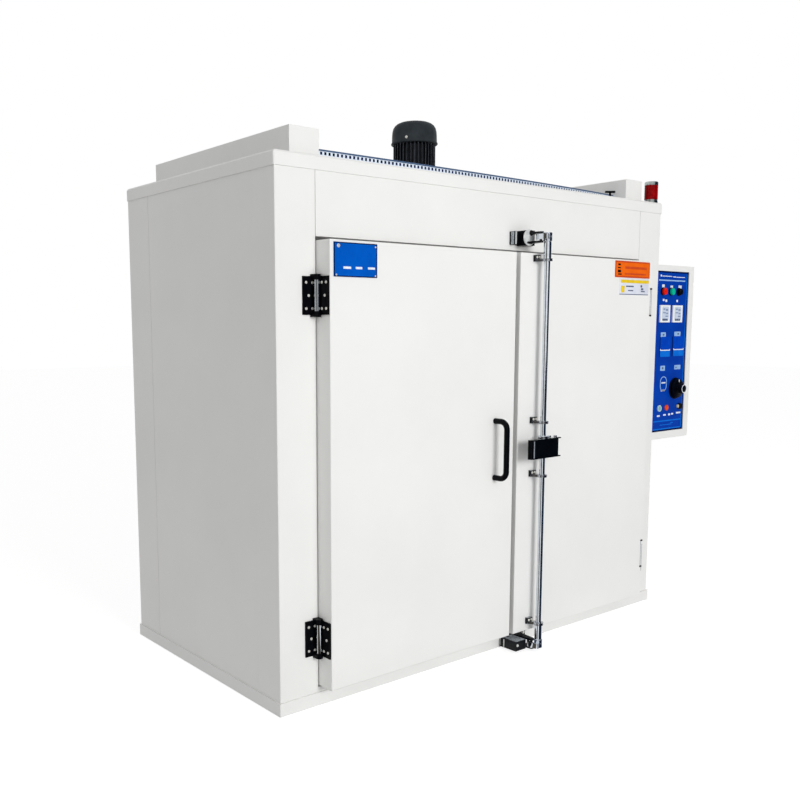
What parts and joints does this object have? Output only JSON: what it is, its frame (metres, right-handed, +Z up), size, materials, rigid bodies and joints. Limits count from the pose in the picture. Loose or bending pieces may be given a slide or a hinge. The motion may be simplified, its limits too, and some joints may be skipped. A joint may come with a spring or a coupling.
{
  "type": "industrial oven",
  "caption": "Industrial batch oven: insulated cabinet with hinged double doors, rod lock, roof fan motor and side control box.",
  "frame": {"origin": "centre of the cabinet's footprint, on the floor under the base frame", "axes": "+Z up, -Y out of the doors (front), +X to the viewer's right, along the oven's long side"},
  "size_m": [2.959, 1.4405, 2.558],
  "materials": {
    "paint": "off-white powder coat, slight orange peel",
    "liner": "plain stainless sheet",
    "seal": "black silicone profile",
    "hinge_black": "black powder-coated die casting",
    "chrome": "bright chrome plate",
    "zinc": "dark zinc-plated casting",
    "grip_black": "black moulded plastic",
    "blue_plate": "printed blue sheet",
    "blue_panel": "printed blue sheet",
    "trunking": "light blue-grey plastic",
    "motor_black": "black enamel",
    "cowl_black": "black enamel",
    "lamp_metal": "satin aluminium",
    "lamp_red": "translucent red moulding",
    "controller": "white face",
    "button_red": "red moulding",
    "button_green": "green moulding",
    "button_black": "black moulding",
    "pilot": "pale moulding",
    "switch_black": "black moulding"
  },
  "bodies": {
    "cabinet": {"base_frame": "paint", "floor_panel": "liner", "door_sill": "paint", "header": "paint", "door_lintel": "liner", "back_wall": "paint", "roof": "paint", "ceiling_panel": "paint", "left_post": "paint", "right_post": "paint", "left_jamb": "liner", "right_jamb": "liner", "left_wall": "paint", "right_wall": "paint", "left_rear_corner": "paint", "right_rear_corner": "paint", "left_air_duct": "liner", "right_air_duct": "liner", "ceiling_baffle": "liner", "left_roof_box": "paint", "right_roof_box": "paint", "roof_trunking": "trunking", "fan_motor": "motor_black", "fan_cowl": "cowl_black", "motor_terminal_box": "cowl_black", "lamp_base": "lamp_metal", "lamp_lens": "lamp_red", "lamp_cap": "lamp_metal", "damper_handle": "grip_black", "left_hinge_frame_leaves": "hinge_black", "right_hinge_frame_leaves": "hinge_black", "top_keeper": "zinc", "bottom_keeper": "zinc", "control_box": "paint", "control_panel": "blue_panel", "temperature_controllers": "controller", "red_button": "button_red", "green_button": "button_green", "black_button": "button_black", "pilot_buttons": "pilot", "main_switch_plate": "switch_black"},
    "left_door": {"left_door_leaf": "paint", "left_door_seal": "seal", "left_hinge_door_leaves": "hinge_black", "left_hinge_pins": "chrome", "pull_handle": "grip_black", "blank_plate": "blue_plate"},
    "right_door": {"right_door_leaf": "paint", "right_door_seal": "seal", "right_hinge_door_leaves": "hinge_black", "right_hinge_pins": "chrome", "rod_guides": "zinc"},
    "lock_rod": {"lock_rod": "chrome", "top_hook": "chrome", "bottom_hook": "chrome", "lock_grip": "grip_black"},
    "main_switch": {"main_switch_knob": "switch_black"}
  },
  "joints": [
    {"name": "left_door_hinge", "type": "hinge", "parent": "cabinet", "child": "left_door", "pos_m": [-1.0785, -0.65, 0], "axis": [0, 0, -1], "range_deg": [0, 95]},
    {"name": "right_door_hinge", "type": "hinge", "parent": "cabinet", "child": "right_door", "pos_m": [1.0785, -0.65, 0], "axis": [0, 0, 1], "range_deg": [0, 95]},
    {"name": "lock_rod_turn", "type": "hinge", "parent": "right_door", "child": "lock_rod", "pos_m": [0.15, -0.763, 0], "axis": [0, 0, 1], "range_deg": [0, 50]},
    {"name": "main_switch_turn", "type": "hinge", "parent": "cabinet", "child": "main_switch", "pos_m": [1.549, -0.57, 1.186], "axis": [0, 1, 0], "range_deg": [0, 90]}
  ]
}
